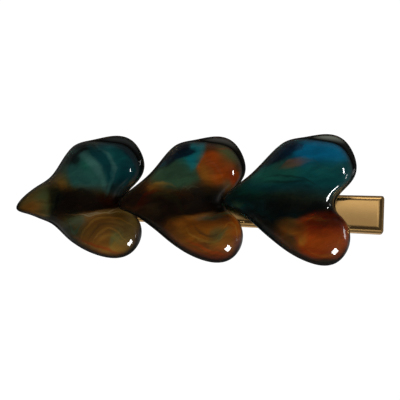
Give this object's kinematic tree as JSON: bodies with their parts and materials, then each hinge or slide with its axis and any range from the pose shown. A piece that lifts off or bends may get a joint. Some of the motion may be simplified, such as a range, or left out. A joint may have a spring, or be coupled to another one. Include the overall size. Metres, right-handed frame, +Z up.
{
  "type": "hair clip",
  "caption": "Beak hair clip of polished gold-coloured sheet with a row of overlapping puffy marbled translucent hearts on its upper arm.",
  "frame": {"origin": "centre of the bounding box at its bottom, on the surface the clip lies on", "axes": "+X along the clip from the jaw's tip to the finger end, +Y across, +Z up, away from the surface, on the hearts' side"},
  "size_m": [0.09, 0.0328, 0.0183],
  "materials": {
    "gold_sheet": "polished light gold plating",
    "gold_pin": "polished light gold plating",
    "spring_wire": "drawn spring wire",
    "marbled_left": "glossy, translucent, olive, teal and amber marbling",
    "marbled_middle": "glossy, translucent, orange, teal and amber marbling",
    "marbled_right": "glossy, translucent, blue, teal and orange marbling"
  },
  "bodies": {
    "upper": {"upper_arm": "gold_sheet", "pivot_pin": "gold_pin", "spring": "spring_wire", "heart_left": "marbled_left", "heart_middle": "marbled_middle", "heart_right": "marbled_right"},
    "lower": {"lower_arm": "gold_sheet"}
  },
  "joints": [
    {"name": "jaw_hinge", "type": "hinge", "parent": "upper", "child": "lower", "pos_m": [0.02508, -0.00244, 0.00519], "axis": [0, -1, 0], "range_deg": [0, 18], "stiffness_Nm_per_rad": 0.28, "springref_deg": -16.04, "deforming": ["spring"]}
  ]
}
